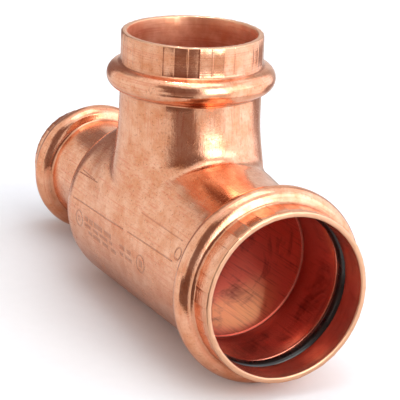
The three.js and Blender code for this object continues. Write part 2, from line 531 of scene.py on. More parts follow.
@dataclass
class CopperBody:
    """The one-piece formed body: three sockets, a reducing shoulder and a drawn branch."""

    large: Socket
    small: Socket
    branch: Socket
    junction_fillet: float = 4.0
    flare_height: float = 1.3
    flare_reach: float = 7.0
    shoulder_gap: float = 0.9
    shoulder_radius: float = 10.9
    shoulder_toe_fillet: float = 2.0
    band_end: float = 23.0
    branch_straight_from: float = 27.0
    branch_hollow_straight_from: float = 23.26
    run_offsets: tuple[float, ...] = (0.0, 0.45, 1.2, 3.1, 5.0, 6.9, 8.8, 9.55)
    branch_offsets: tuple[float, ...] = (
        0.0, 0.4, 0.95, 1.8, 3.0, 4.3, 5.7, 7.0, 8.2, 9.05, 9.6,
    )
    half_band_columns: int = 90
    radial_steps: int = 11
    junction_steps: int = 7
    shoulder_steps: int = 11
    toe_steps: int = 6
    foot_steps: int = 5
    barrel_steps: int = 4
    neck_steps: int = 3
    rim_flat_steps: int = 3
    band_crowding: float = 1.2
    marks: WitnessMarks = field(default_factory=WitnessMarks)
    ripples: tuple[Ripple, ...] = (
        Ripple(depth=0.06, longest=30.0, shortest=12.0, waves=9, seed=11),
        Ripple(depth=0.022, longest=8.0, shortest=4.0, waves=30, seed=12),
    )
    nicks: Ripple = Ripple(depth=1.0, longest=2.6, shortest=1.1, waves=30, seed=21)
    nick_depth: float = 0.05
    nick_rarity: float = 0.66
    nick_fade: float = 0.25
    rim_wear: float = 0.01
    sized_smoothing: float = 0.7
    guide_fade: float = 0.9
    outer_share: float = 0.45
    cut_edge_from: float = 0.6
    cut_edge_fade: float = 0.5
    sized_from: float = 1.6
    sized_fade: float = 1.4
    haze_fade: float = 0.8

    @property
    def sockets(self) -> tuple[Socket, Socket, Socket]:
        """The three sockets."""
        return self.large, self.small, self.branch

    @property
    def shoulder_at(self) -> float:
        """Where the shoulder leaves the barrel, towards -X."""
        return self.branch.barrel + self.junction_fillet + self.shoulder_gap

    def columns(self, line: Line) -> np.ndarray:
        """Spaces the mesh columns, closest at the witness marks.

        Args:
            line: The centre line that the columns stand round.

        Returns:
            Their angles, in radians.
        """
        offsets = self.run_offsets if line is Line.RUN else self.branch_offsets
        starts = np.arange(0.0, 360.0, self.marks.pitch_degrees)
        return np.radians((starts[:, None] + np.array(offsets)[None, :]).ravel())

    def shoulder(self, barrel: float, neck: float, inset: float) -> list[Point]:
        """The shoulder's profile from the barrel to the neck.

        Args:
            barrel: The barrel's radius on this skin.
            neck: The neck's radius on this skin.
            inset: How far this skin lies inside the outer one.

        Returns:
            The points, with distances counted towards -X.
        """
        radius = self.shoulder_radius - inset
        centre = (barrel - radius, self.shoulder_at)
        toe_fillet = self.shoulder_toe_fillet + inset
        toe = Fillet.at_root(centre, radius, neck, toe_fillet, 1, self.toe_steps)
        return [
            *arc(centre, radius, QUARTER_TURN, toe.leave_angle, self.shoulder_steps),
            *toe.points[::-1],
        ]

    def turned(self, socket: Socket, profile: Sequence[Point], inside: float) -> Sheet:
        """Turns a profile about the socket's centre line.

        Args:
            socket: The socket whose line, side and marks count.
            profile: Points as radius and distance from the crossing.
            inside: 1 for the hollow's skin.

        Returns:
            The sheet, a row for each point of the profile.
        """
        radius, along = (np.array(column)[:, None] for column in zip(*profile))
        angles = self.columns(socket.line)
        from_ring = along - socket.ring_at
        on_guide = smoothstep((from_ring - socket.bead_half) / self.guide_fade)
        on_guide = on_guide * (radius > socket.bore + self.outer_share * socket.guide_wall)
        dressed = radius + on_guide * self.marks.at(angles, socket.guide)[None, :]
        rim = smoothstep((along - socket.rim_at + self.cut_edge_from) / self.cut_edge_fade)
        sized = smoothstep((from_ring + socket.bead_half + self.sized_from) / self.sized_fade)
        points = on_line(socket.line, angles[None, :], dressed, along * socket.side)
        past_stop = smoothstep((socket.stop_at - along) / self.haze_fade)
        dull = 1.0 if socket is self.branch else past_stop
        return Sheet(points, inside=inside, rim=rim, sized=sized, haze=inside * dull)

    def junction(self, run: float, branch: float, ball: float) -> np.ndarray:
        """Rolls a ball round the foot of the branch, for the fillet there.

        Args:
            run: The barrel's radius on this skin.
            branch: The branch's radius on this skin.
            ball: The ball's radius.

        Returns:
            The fillet's points, a row for each step from the run to the branch.
        """
        angles = self.columns(Line.BRANCH)
        outward = np.stack([np.cos(angles), np.sin(angles), np.zeros_like(angles)], axis=-1)
        centre = outward * (branch + ball)
        centre[:, 2] = np.sqrt((run + ball) ** 2 - centre[:, 1] ** 2)
        to_run = -centre / (run + ball)
        to_run[:, 0] = 0.0
        spread = np.arccos(np.clip(np.sum(to_run * -outward, axis=1), -1.0, 1.0))[:, None]
        rows = [
            to_run * np.sin((1 - share) * spread) - outward * np.sin(share * spread)
            for share in np.linspace(0.0, 1.0, self.junction_steps + 1)
        ]
        return centre[None] + ball * np.stack(rows) / np.sin(spread)

    def band_border(self) -> tuple[np.ndarray, np.ndarray]:
        """The border of the band that the branch grows from, unrolled.

        Returns:
            The places along X and the angles about the run, one for each branch column.
        """
        half = self.half_band_columns
        run = self.columns(Line.RUN)
        side = np.concatenate([run[-half:] - 2 * math.pi, run[: half + 1]])
        edge_steps = (len(self.columns(Line.BRANCH)) - 4 * half) // 2
        edge = np.linspace(self.band_end, -self.shoulder_at, edge_steps + 1)
        along = np.concatenate([
            np.full(half, self.band_end), edge, np.full(2 * half - 1, -self.shoulder_at),
            edge[::-1], np.full(half, self.band_end)[1:],
        ])
        angle = np.concatenate([
            side[half:-1], np.full(len(edge), side[-1]), side[::-1][1:-1],
            np.full(len(edge), side[0]), side[1:half],
        ])
        return along, angle

    def band(self, run: float, edge: np.ndarray, inside: float) -> list[Sheet]:
        """The barrel round the foot of the branch, and the plain barrel under it.

        Args:
            run: The barrel's radius on this skin.
            edge: The points where the fillet meets the barrel.
            inside: 1 for the hollow's skin.

        Returns:
            The sheet round the branch, and the open sheet that closes the barrel below.
        """
        border_along, border_angle = self.band_border()
        hole_along, hole_angle = edge[:, 0], np.arctan2(edge[:, 1], edge[:, 2])
        shares = (np.linspace(0.0, 1.0, self.radial_steps + 1) ** self.band_crowding)[:, None]
        along = hole_along[None] * (1 - shares) + border_along[None] * shares
        angle = hole_angle[None] * (1 - shares) + border_angle[None] * shares
        around = Sheet(on_line(Line.RUN, angle, np.float64(run), along), inside=inside, haze=inside)
        columns = self.columns(Line.RUN)[self.half_band_columns : -self.half_band_columns + 1]
        edge_steps = (len(border_along) - 4 * self.half_band_columns) // 2
        stations = np.linspace(self.band_end, -self.shoulder_at, edge_steps + 1)
        below = on_line(Line.RUN, columns[None, :], np.float64(run), stations[:, None])
        return [around, Sheet(below, closed=False, inside=inside, haze=inside)]

    def skin(self, inside: bool) -> list[Sheet]:
        """Draws one of the two skins.

        Args:
            inside: Whether it is the hollow's.

        Returns:
            The skin's sheets.
        """
        run, neck, stem = (s.waterway if inside else s.barrel for s in self.sockets)
        wall = self.large.barrel - self.large.waterway if inside else 0.0
        large, small, branch = (s.inside() if inside else s.outside() for s in self.sockets)
        large += straight(large[-1], (run, self.band_end), self.barrel_steps)[1:]
        shoulder = self.shoulder(run, neck, wall)
        small += [*straight(small[-1], shoulder[-1], self.neck_steps)[1:-1], *shoulder[::-1]]
        foot_top = self.branch_hollow_straight_from if inside else self.branch_straight_from
        branch += straight(branch[-1], (stem, foot_top), self.barrel_steps)[1:]
        junction = self.junction(run, stem, self.junction_fillet + wall)
        shares = np.linspace(0.0, 1.0, self.foot_steps + 1)[:, None]
        heights = junction[-1, :, 2] * (1 - shares) + foot_top * shares
        foot = on_line(Line.BRANCH, self.columns(Line.BRANCH), np.float64(stem), heights)
        ends = zip(self.sockets, (large, small, branch))
        turned = [self.turned(s, without_repeats(p), float(inside)) for s, p in ends]
        bare = [Sheet(part, inside=float(inside), haze=float(inside)) for part in (junction, foot)]
        return [*turned, *bare, *self.band(run, junction[0], float(inside))]

    def rim_flats(self) -> list[Sheet]:
        """Draws the cut faces of the three rims.

        Returns:
            A sheet for each, between the two skins.
        """
        flats = []
        for socket in self.sockets:
            profile = straight(socket.outside()[0], socket.inside()[0], self.rim_flat_steps)
            flats.append(self.turned(socket, profile, 0.0))
        return flats

    def flare(self, points: np.ndarray) -> np.ndarray:
        """How far the metal stands out round the foot of the branch, where forming drew it up.

        Args:
            points: The points, in millimetres.

        Returns:
            The distance for each point, greatest at the middle of the foot's fillet.
        """
        foot = self.junction(self.large.barrel, self.branch.barrel, self.junction_fillet)
        middle = foot[self.junction_steps // 2]
        tree = KDTree(len(middle))
        for index, point in enumerate(middle):
            tree.insert(point, index)
        tree.balance()
        reach = self.flare_reach
        far = np.array([tree.find(point)[2] if point[2] > 0.0 else 3 * reach for point in points])
        return self.flare_height * np.exp(-((far / reach) ** 2))

    def weather(self, mesh: bpy.types.Mesh) -> None:
        """Moves the mesh's points for the flare, ripples and nicks of the real wall.

        Args:
            mesh: The body's mesh.
        """
        points, normals = read_points(mesh), read_normals(mesh)
        rim, sized = (read_mark(mesh, name) for name in ("rim", "sized"))
        inward = np.zeros(len(points))
        for ripple in self.ripples:
            inward += ripple.at(points) * (1.0 - self.sized_smoothing * sized)
        nicked = smoothstep((self.nicks.at(points) - self.nick_rarity) / self.nick_fade)
        inward += rim * (self.rim_wear + self.nick_depth * nicked)
        inward -= self.flare(points) * (1.0 - read_mark(mesh, "inside"))
        moved = (points - normals * inward[:, None]) * MM
        mesh.vertices.foreach_set("co", moved.ravel())
        mesh.update()

    def build(self, finish: bpy.types.Material) -> bpy.types.Object:
        """Builds the body and lets it stand for the CAD body.

        Args:
            finish: The body's material.

        Returns:
            The body.
        """
        body = weld("copper_body", [*self.skin(False), *self.skin(True), *self.rim_flats()])
        mark_bends(body.data)
        self.weather(body.data)
        body.data.materials.append(finish)
        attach(body, BODY)
        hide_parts("tee_body")
        return body


@dataclass
class SealRing:
    """A moulded sealing ring that sits in a bead's channel."""

    node_name: str
    socket: Socket
    turns: int = 288
    section_steps: int = 36
    flash_height: float = 0.05
    flash_width: float = 0.12
    swell: float = 0.15

    def build(self, finish: bpy.types.Material) -> bpy.types.Object:
        """Builds the ring, with the fine flash line of its mould, and puts it for the CAD ring.

        Args:
            finish: The ring's material.

        Returns:
            The ring.
        """
        angles = np.linspace(0.0, 2 * math.pi, self.turns, endpoint=False)
        around = np.linspace(0.0, 2 * math.pi, self.section_steps, endpoint=False)[:, None]
        radius = self.socket.ring_section / 2
        seam = np.abs(np.sin(around)) * radius
        section = radius + self.swell + self.flash_height * np.exp(-((seam / self.flash_width) ** 2))
        out = self.socket.ring_centre + section * np.cos(around)
        along = self.socket.ring_at * self.socket.side + section * np.sin(around)
        points = on_line(self.socket.line, angles[None, :], out, along)
        sheet = Sheet(np.concatenate([points, points[:1]]))
        ring = weld(self.node_name.replace("_oring", "_seal_ring"), [sheet])
        ring.data.materials.append(finish)
        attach(ring, BODY)
        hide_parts(self.node_name)
        return ring


# ---------------------------------------------------------------------------------------------
# Finishes
# ---------------------------------------------------------------------------------------------


def linear(code: str) -> tuple[float, float, float, float]:
    """Turns an sRGB hex colour to a linear one with full opacity."""
    parts = [int(code[i : i + 2], 16) / 255 for i in (1, 3, 5)]
    return (*(p / 12.92 if p <= 0.04045 else ((p + 0.055) / 1.055) ** 2.4 for p in parts), 1.0)


def per_mm(size: float) -> float:
    """The scale that makes a pattern's features this many millimetres wide."""
    return 1.0 / (size * MM)


def node(
    tree: Tree, kind: str, inputs: dict[str, object], output: str = "", **settings: object
) -> Output:
    """Adds a node with its settings and links.

    Args:
        tree: The tree it goes in.
        kind: The node's kind, without the leading ShaderNode.
        inputs: A number, a colour or another node's output for each named input.
        output: The wanted output, the first one when it is empty.
        **settings: The node's own settings.

    Returns:
        The wanted output.
    """
    made = tree.nodes.new("ShaderNode" + kind)
    for name, value in settings.items():
        setattr(made, name, value)
    for name, value in inputs.items():
        place = int(name) if name.isdigit() else None
        usable = [socket for socket in made.inputs if socket.enabled]
        socket = made.inputs[place] if place is not None else next(s for s in usable if s.name == name)
        if isinstance(value, Output):
            tree.links.new(value, socket)
        else:
            socket.default_value = value
    if output:
        return made.outputs[output]
    return next((s for s in made.outputs if s.enabled), None)


def new_material(name: str) -> tuple[bpy.types.Material, Tree]:
    """Adds a material with an empty node tree.

    Args:
        name: The material's name.

    Returns:
        The material and its tree.
    """
    material = bpy.data.materials.new(name)
    material.use_nodes = True
    material.node_tree.nodes.clear()
    return material, material.node_tree


@dataclass(frozen=True)
class Scribe:
    """A fine line pressed or scratched along the run, by its angle from the top towards -Y."""

    start: float
    end: float
    start_angle: float
    end_angle: float
    width: float
    depth: float


@dataclass(frozen=True)
class Stamp:
    """A plain ring or bar pressed into the barrel; a bar has no radius."""

    along: float
    angle: float
    length: float = 0.0
    height: float = 0.0
    radius: float = 0.0
    stroke: float = 0.3


@dataclass(frozen=True)
class CopperSurface:
    """The patterns on the copper, each from 0 to 1, and the marks that its mesh carries."""

    marks: dict[str, Output]
    mottle: Output
    grain: Output
    worked: Output
    dull: Output
    speck: Output
    pressed: Output
    deep: Output
    # The painted pool of light in the hollow.
    light_pool: Output


@dataclass(frozen=True)
class FormedCopper:
    """Phosphorus-deoxidised copper, hydroformed and press-sized, left bright.

    The metal is nearly a mirror with a soft haze, so it shows its surroundings in pink and orange.
    Forming leaves a fine mottle, lines along the draw and rings where a roller went round, and the
    hollow is painted a redder brown for the light that bounces between its walls.
    """

    barrel_radius: float
    bright: str = "#FCC3A2"
    warm: str = "#E59A70"
    drawn: str = "#E48A6A"
    # Painted bounced light: the red of light that bounced between the hollow's walls, strongest deep
    # inside.
    hollow: str = "#EC806C"
    # Smoke streaks in the hollow, and painted shade in its creases and over the highlights of its tight
    # edges.
    smoke_and_shade: str = "#94493C"
    cut_edge: str = "#E4B08E"
    # Real stain for the specks and the pressed marks, and painted shade in tight creases.
    stain_and_crease_shade: str = "#9C5636"
    # Painted light: the brighter colour of a painted pool of light in the hollow, where the branch light
    # falls.
    lit_pool_colour: str = "#F2AC80"
    patch_size: float = 9.0
    mottle_size: float = 3.5
    grain_size: float = 0.55
    draw_line_width: float = 0.4
    draw_line_stretch: float = 30.0
    roller_line_width: float = 0.3
    roller_line_stretch: float = 40.0
    branch_lines_from: float = 20.0
    branch_lines_full: float = 24.0
    red_full_below: float = 24.0
    red_least_above: float = 34.0
    red_least: float = 0.25
    red_on_sized: float = 0.7
    # Where the painted pool of light sits, and how far it spreads.
    light_pool_at: Spot = (14.5, 6.5, -15.5)
    light_pool_full_within: float = 5.0
    light_pool_none_past: float = 13.0
    line_end_fade: float = 0.5
    stamp_strength: float = 0.8
    dirt_in_marks: float = 0.55
    # How much painted shade darkens tight creases.
    shade_in_creases: float = 0.5
    smoke_in_hollow: float = 0.75
    metallic_in_hollow: float = 0.8
    polish_low: float = 0.12
    polish_high: float = 0.2
    dull_roughness: float = 0.14
    speck_roughness: float = 0.6
    mark_roughness: tuple[tuple[str, float], ...] = (
        ("sized", 0.14), ("inside", 0.24), ("haze", 0.48), ("rim", 0.3),
    )
    grain_relief: float = 0.04
    line_relief: float = 0.04
    pressed_relief: float = 0.09
    scribes: tuple[Scribe, ...] = (
        Scribe(-20.5, 7.6, 80.0, 77.4, 0.28, 1.0),
        Scribe(9.2, 31.5, 77.2, 76.0, 0.28, 1.0),
        Scribe(12.6, 32.5, 60.8, 60.8, 0.24, 0.7),
        Scribe(-21.6, -10.4, 62.0, 61.0, 0.2, 0.8),
        Scribe(-20.6, -12.4, 59.6, 60.6, 0.2, 0.7),
    )
    stamps: tuple[Stamp, ...] = (
        Stamp(-16.2, 91.5, radius=1.8, stroke=0.4),
        Stamp(-16.2, 91.5, radius=0.5, stroke=0.4),
        *(Stamp(x, 88.5, w, 0.9) for x, w in ((-12.2, 1.4), (-9.6, 1.6), (-5.6, 4.2), (-0.4, 3.4))),
        *(Stamp(x, 93.0, w, 0.5) for x, w in ((-11.4, 3.0), (-7.0, 2.2), (-2.6, 3.6), (1.4, 1.2))),
        *(Stamp(x, 97.5, w, 0.5) for x, w in ((-10.2, 1.6), (-6.6, 3.4), (-1.8, 2.6), (2.6, 2.2))),
        *(Stamp(x, 90.0, w, 0.7) for x, w in ((7.6, 2.2), (11.0, 1.6))),
        *(Stamp(x, 95.0, w, 0.5) for x, w in ((7.2, 1.4), (10.8, 3.0))),
        Stamp(17.0, 92.0, radius=1.9, stroke=0.4),
        Stamp(17.0, 92.0, 1.2, 1.2),
        Stamp(32.6, 69.5, radius=1.3, stroke=0.4),
    )

    def make(self) -> bpy.types.Material:
        """Builds the material.

        Returns:
            The material.
        """
        material, tree = new_material("copper_hydroformed_bright")
        surface = self.surface(tree)
        metal = node(tree, "Mix", {
            "Factor": surface.deep, "A": 1.0, "B": self.metallic_in_hollow,
        })
        shader = node(tree, "BsdfPrincipled", {
            "Base Color": self.colour(tree, surface), "Metallic": metal,
            "Roughness": self.roughness(tree, surface), "Normal": self.relief(tree, surface),
        })
        node(tree, "OutputMaterial", {"Surface": shader})
        return material

    def surface(self, tree: Tree) -> CopperSurface:
        """Adds the patterns that the colour, the roughness and the relief all follow.

        Args:
            tree: The material's tree.

        Returns:
            The patterns.
        """
        place = node(tree, "TexCoord", {}, "Object")
        marks = {
            name: node(tree, "Attribute", {}, "Fac", attribute_name=name)
            for name in (*MARK_NAMES, *BEND_NAMES)
        }
        mottle = node(tree, "TexNoise", {
            "Vector": place, "Scale": per_mm(self.mottle_size), "Detail": 6.0, "Roughness": 0.65,
        })
        patches = node(tree, "TexNoise", {
            "Vector": place, "Scale": per_mm(self.patch_size), "Detail": 4.0, "Roughness": 0.7,
            "Distortion": 0.6,
        })
        grain = node(tree, "TexNoise", {
            "Vector": place, "Scale": per_mm(self.grain_size), "Detail": 3.0, "Roughness": 0.6,
        })
        outside = node(tree, "Math", {"0": 1.0, "1": marks["inside"]}, operation="SUBTRACT")
        speck = node(tree, "MapRange", {
            "Value": grain, "From Min": 0.56, "From Max": 0.70, "To Max": 0.34,
        })
        pressed = self.pressed_lines(tree, place)
        lines = self.streaks(tree, place, self.draw_line_width, self.draw_line_stretch, False)
        rings = self.streaks(tree, place, self.roller_line_width, self.roller_line_stretch, True)
        return CopperSurface(
            marks=marks,
            mottle=mottle,
            grain=grain,
            worked=node(tree, "Mix", {"Factor": marks["sized"], "A": lines, "B": rings}),
            dull=node(tree, "MapRange", {"Value": patches, "From Min": 0.5, "From Max": 0.68}),
            speck=node(tree, "Math", {"0": speck, "1": outside}, operation="MULTIPLY"),
            pressed=node(tree, "Math", {"0": pressed, "1": outside}, operation="MULTIPLY"),
            deep=self.depth_inside(tree, place, marks),
            light_pool=self.painted_light_pool(tree, place, marks),
        )

    def colour(self, tree: Tree, surface: CopperSurface) -> Output:
        """Lays the copper's tones over each other, the brightest first.

        Args:
            tree: The material's tree.
            surface: The patterns that they follow.

        Returns:
            The colour.
        """
        marks = surface.marks
        tone = node(tree, "MapRange", {"Value": surface.mottle, "From Min": 0.34, "From Max": 0.68})
        wiped = node(tree, "MapRange", {
            "Value": surface.worked, "From Min": 0.5, "From Max": 0.72, "To Max": 0.6,
        })
        dirt = node(tree, "Math", {
            "0": surface.pressed, "1": self.dirt_in_marks,
        }, operation="MULTIPLY")
        # Painted shade: tight creases take the stain colour, as if shade fell in them.
        crease_shade = node(tree, "Math", {
            "0": marks["crease"], "1": self.shade_in_creases,
        }, operation="MULTIPLY")
        smoke_and_shade_share = node(tree, "Math", {"0": wiped, "1": surface.dull}, operation="ADD")
        smoke_and_shade_share = node(tree, "Math", {
            "0": smoke_and_shade_share, "1": self.smoke_in_hollow,
        }, operation="MULTIPLY", use_clamp=True)
        # Painted shade: inside, tight creases and tight edges take the smoked colour too, which dims the
        # edges' highlights, more so deep in the hollow.
        for bend in BEND_NAMES:
            smoke_and_shade_share = node(tree, "Math", {"0": smoke_and_shade_share, "1": marks[bend]}, operation="MAXIMUM")
        smoke_and_shade_share = node(tree, "Math", {"0": smoke_and_shade_share, "1": surface.deep}, operation="MULTIPLY")
        base: object = linear(self.bright)
        # Painted light among these layers: the hollow's bounced red, the pool of light, the crease shade
        # and the shade in the smoke.
        for share, tint in (
            (tone, self.warm), (wiped, self.drawn), (surface.speck, self.stain_and_crease_shade), (dirt, self.stain_and_crease_shade),
            (crease_shade, self.stain_and_crease_shade), (surface.deep, self.hollow), (surface.light_pool, self.lit_pool_colour),
            (smoke_and_shade_share, self.smoke_and_shade), (marks["rim"], self.cut_edge),
        ):
            base = node(tree, "Mix", {
                "Factor": share, "A": base, "B": linear(tint),
            }, data_type="RGBA")
        return base

    def roughness(self, tree: Tree, surface: CopperSurface) -> Output:
        """Sets how blurred the copper's mirror is.

        Args:
            tree: The material's tree.
            surface: The patterns that it follows.

        Returns:
            The roughness.
        """
        rough = node(tree, "MapRange", {
            "Value": surface.mottle, "From Min": 0.3, "From Max": 0.7,
            "To Min": self.polish_low, "To Max": self.polish_high,
        })
        for share, more in (
            (surface.dull, self.dull_roughness), (surface.speck, self.speck_roughness),
        ):
            rough = node(tree, "Math", {
                "0": share, "1": more, "2": rough,
            }, operation="MULTIPLY_ADD")
        for name, value in self.mark_roughness:
            rough = node(tree, "Mix", {"Factor": surface.marks[name], "A": rough, "B": value})
        return rough

    def relief(self, tree: Tree, surface: CopperSurface) -> Output:
        """Raises the grain and the tool lines, and sinks the pressed marks.

        Args:
            tree: The material's tree.
            surface: The patterns that they follow.

        Returns:
            The normal.
        """
        normal: object = None
        for height, strength, distance, sunk in (
            (surface.grain, 0.5, self.grain_relief, False),
            (surface.worked, 0.4, self.line_relief, False),
            (surface.pressed, 1.0, self.pressed_relief, True),
        ):
            under = {} if normal is None else {"Normal": normal}
            normal = node(tree, "Bump", {
                "Height": height, "Strength": strength, "Distance": distance * MM, **under,
            }, invert=sunk)
        return normal

    def depth_inside(self, tree: Tree, place: Output, marks: dict[str, Output]) -> Output:
        """How much the metal shows the red of light that bounced between walls.

        Args:
            tree: The material's tree.
            place: The place on the body.
            marks: The body's marks.

        Returns:
            The share, 0 outside and near the branch's mouth and 1 deep in the hollow.
        """
        height = node(tree, "SeparateXYZ", {"Vector": place}, "Z")
        deep = node(tree, "MapRange", {
            "Value": height, "From Min": self.red_least_above * MM,
            "From Max": self.red_full_below * MM, "To Min": self.red_least,
        })
        swept = node(tree, "Mix", {"Factor": marks["sized"], "A": 1.0, "B": self.red_on_sized})
        for share in (marks["inside"], swept):
            deep = node(tree, "Math", {"0": deep, "1": share}, operation="MULTIPLY")
        return deep

    def painted_light_pool(self, tree: Tree, place: Output, marks: dict[str, Output]) -> Output:
        """A painted pool of light on the far wall of the hollow, where the branch light falls in through
        the branch.

        Args:
            tree: The material's tree.
            place: The place on the body.
            marks: The body's marks.

        Returns:
            The share of the painted pool of light.
        """
        middle = tuple(value * MM for value in self.light_pool_at)
        far = node(tree, "VectorMath", {"0": place, "1": middle}, "Value", operation="DISTANCE")
        near = node(tree, "MapRange", {
            "Value": far, "From Min": self.light_pool_none_past * MM,
            "From Max": self.light_pool_full_within * MM,
        }, interpolation_type="SMOOTHSTEP")
        return node(tree, "Math", {"0": near, "1": marks["haze"]}, operation="MULTIPLY")

    def streaks(
        self, tree: Tree, place: Output, width: float, stretch: float, rings: bool
    ) -> Output:
        """Fine tool lines, along the centre lines or as rings about them.

        Args:
            tree: The material's tree.
            place: The place on the body.
            width: How wide a line is, in millimetres.
            stretch: How many times longer than wide a line is.
            rings: Whether the lines go round.

        Returns:
            The lines' height, from 0 to 1.
        """
        fine, long = per_mm(width), per_mm(width * stretch)
        along, across = (fine, long) if rings else (long, fine)
        both = []
        for scale in ((along, across, across), (across, across, along)):
            stretched = node(tree, "Mapping", {"Vector": place, "Scale": scale})
            both.append(node(tree, "TexNoise", {"Vector": stretched, "Scale": 1.0, "Detail": 2.0}))
        height = node(tree, "SeparateXYZ", {"Vector": place}, "Z")
        on_branch = node(tree, "MapRange", {
            "Value": height, "From Min": self.branch_lines_from * MM,
            "From Max": self.branch_lines_full * MM,
        })
        return node(tree, "Mix", {"Factor": on_branch, "A": both[0], "B": both[1]})

    def pressed_lines(self, tree: Tree, place: Output) -> Output:
        """The die's parting lines, the scratches and the plain stamped marks on the barrel.

        Args:
            tree: The material's tree.
            place: The place on the body.

        Returns:
            How deep they are, from 0 to 1.
        """
        split = node(tree, "SeparateXYZ", {"Vector": place}, "X").node
        along = node(tree, "Math", {"0": split.outputs["X"], "1": 1.0 / MM}, operation="MULTIPLY")
        under = node(tree, "Math", {"0": split.outputs["Y"], "1": -1.0}, operation="MULTIPLY")
        angle = node(tree, "Math", {"0": under, "1": split.outputs["Z"]}, operation="ARCTAN2")
        around = node(tree, "Math", {"0": angle, "1": self.barrel_radius}, operation="MULTIPLY")
        depths = [
            *(self.scribed(tree, along, around, line) for line in self.scribes),
            *(self.stamped(tree, along, around, stamp) for stamp in self.stamps),
        ]
        total: object = 0.0
        for depth in depths:
            total = node(tree, "Math", {"0": total, "1": depth}, operation="MAXIMUM")
        return total

    def scribed(self, tree: Tree, along: Output, around: Output, line: Scribe) -> Output:
        """One scribed line.

        Args:
            tree: The material's tree.
            along: The place along the run, in millimetres.
            around: The place round the barrel, in millimetres.
            line: The line.

        Returns:
            How deep it is, from 0 to its own depth.
        """
        start, end = (math.radians(a) * self.barrel_radius for a in (line.start_angle, line.end_angle))
        middle = node(tree, "MapRange", {
            "Value": along, "From Min": line.start, "From Max": line.end,
            "To Min": start, "To Max": end,
        })
        off = node(tree, "Math", {"0": around, "1": middle}, operation="SUBTRACT")
        off = node(tree, "Math", {"0": off}, operation="ABSOLUTE")
        depth = node(tree, "MapRange", {
            "Value": off, "From Min": line.width, "From Max": 0.0, "To Max": line.depth,
        }, interpolation_type="SMOOTHSTEP")
        for tip, way in ((line.start, self.line_end_fade), (line.end, -self.line_end_fade)):
            fade = node(tree, "MapRange", {"Value": along, "From Min": tip, "From Max": tip + way})
            depth = node(tree, "Math", {"0": depth, "1": fade}, operation="MULTIPLY")
        return depth

    def stamped(self, tree: Tree, along: Output, around: Output, stamp: Stamp) -> Output:
        """One stamped ring or bar.

        Args:
            tree: The material's tree.
            along: The place along the run, in millimetres.
            around: The place round the barrel, in millimetres.
            stamp: The ring or bar.

        Returns:
            How deep it is, from 0 to the stamps' strength.
        """
        middle = (stamp.along, math.radians(stamp.angle) * self.barrel_radius)
        offs = [
            node(tree, "Math", {
                "0": node(tree, "Math", {"0": value, "1": centre}, operation="SUBTRACT"),
            }, operation="ABSOLUTE")
            for value, centre in zip((along, around), middle)
        ]
        if stamp.radius:
            flat = node(tree, "CombineXYZ", {"X": offs[0], "Y": offs[1]})
            far = node(tree, "VectorMath", {"0": flat}, "Value", operation="LENGTH")
            off = node(tree, "Math", {"0": far, "1": stamp.radius}, operation="SUBTRACT")
            off = node(tree, "Math", {"0": off}, operation="ABSOLUTE")
        else:
            over = [
                node(tree, "Math", {"0": value, "1": size / 2}, operation="SUBTRACT")
                for value, size in zip(offs, (stamp.length, stamp.height))
            ]
            off = node(tree, "Math", {"0": over[0], "1": over[1]}, operation="MAXIMUM")
        return node(tree, "MapRange", {
            "Value": off, "From Min": stamp.stroke, "From Max": 0.0, "To Max": self.stamp_strength,
        }, interpolation_type="SMOOTHSTEP")


@dataclass(frozen=True)
class MouldedEpdm:
    """EPDM rubber, compression moulded and lightly greased: a black that lifts to a grey gleam."""

    black: str = "#0C0C0C"
    worn: str = "#191817"
    grain_size: float = 0.25
    grain_relief: float = 0.02
    smear_size: float = 2.5
    roughness_low: float = 0.22
    roughness_high: float = 0.4
    refraction: float = 1.52
    gleam: float = 0.3
    grease: float = 0.6
    grease_roughness: float = 0.08

    def make(self) -> bpy.types.Material:
        """Builds the material.

        Returns:
            The material.
        """
        material, tree = new_material("epdm_rubber_moulded")
        place = node(tree, "TexCoord", {}, "Object")
        grain = node(tree, "TexNoise", {
            "Vector": place, "Scale": per_mm(self.grain_size), "Detail": 3.0,
        })
        smear = node(tree, "TexNoise", {
            "Vector": place, "Scale": per_mm(self.smear_size), "Detail": 4.0,
        })
        base = node(tree, "Mix", {
            "Factor": smear, "A": linear(self.black), "B": linear(self.worn),
        }, data_type="RGBA")
        rough = node(tree, "MapRange", {
            "Value": smear, "From Min": 0.35, "From Max": 0.65,
            "To Min": self.roughness_low, "To Max": self.roughness_high,
        })
        normal = node(tree, "Bump", {
            "Height": grain, "Strength": 0.3, "Distance": self.grain_relief * MM,
        })
        shader = node(tree, "BsdfPrincipled", {
            "Base Color": base, "Roughness": rough, "IOR": self.refraction, "Normal": normal,
            "Specular IOR Level": self.gleam, "Coat Weight": self.grease,
            "Coat Roughness": self.grease_roughness,
        })
        node(tree, "OutputMaterial", {"Surface": shader})
        return material


@dataclass(frozen=True)
class StudioPaper:
    """Matt paper, plain pulp: an even tone with the faintest fibre."""

    name: str = "paper_matt_white"
    light: str = "#F4F7FA"
    dark: str = "#F0F3F6"
    fibre_size: float = 3.0
    roughness: float = 0.9

    def make(self) -> bpy.types.Material:
        """Builds the material.

        Returns:
            The material.
        """
        material, tree = new_material(self.name)
        place = node(tree, "TexCoord", {}, "Object")
        fibre = node(tree, "TexNoise", {
            "Vector": place, "Scale": per_mm(self.fibre_size), "Detail": 4.0,
        })
        base = node(tree, "Mix", {
            "Factor": fibre, "A": linear(self.light), "B": linear(self.dark),
        }, data_type="RGBA")
        shader = node(tree, "BsdfPrincipled", {"Base Color": base, "Roughness": self.roughness})
        node(tree, "OutputMaterial", {"Surface": shader})
        return material


# ---------------------------------------------------------------------------------------------
# The studio
# ---------------------------------------------------------------------------------------------


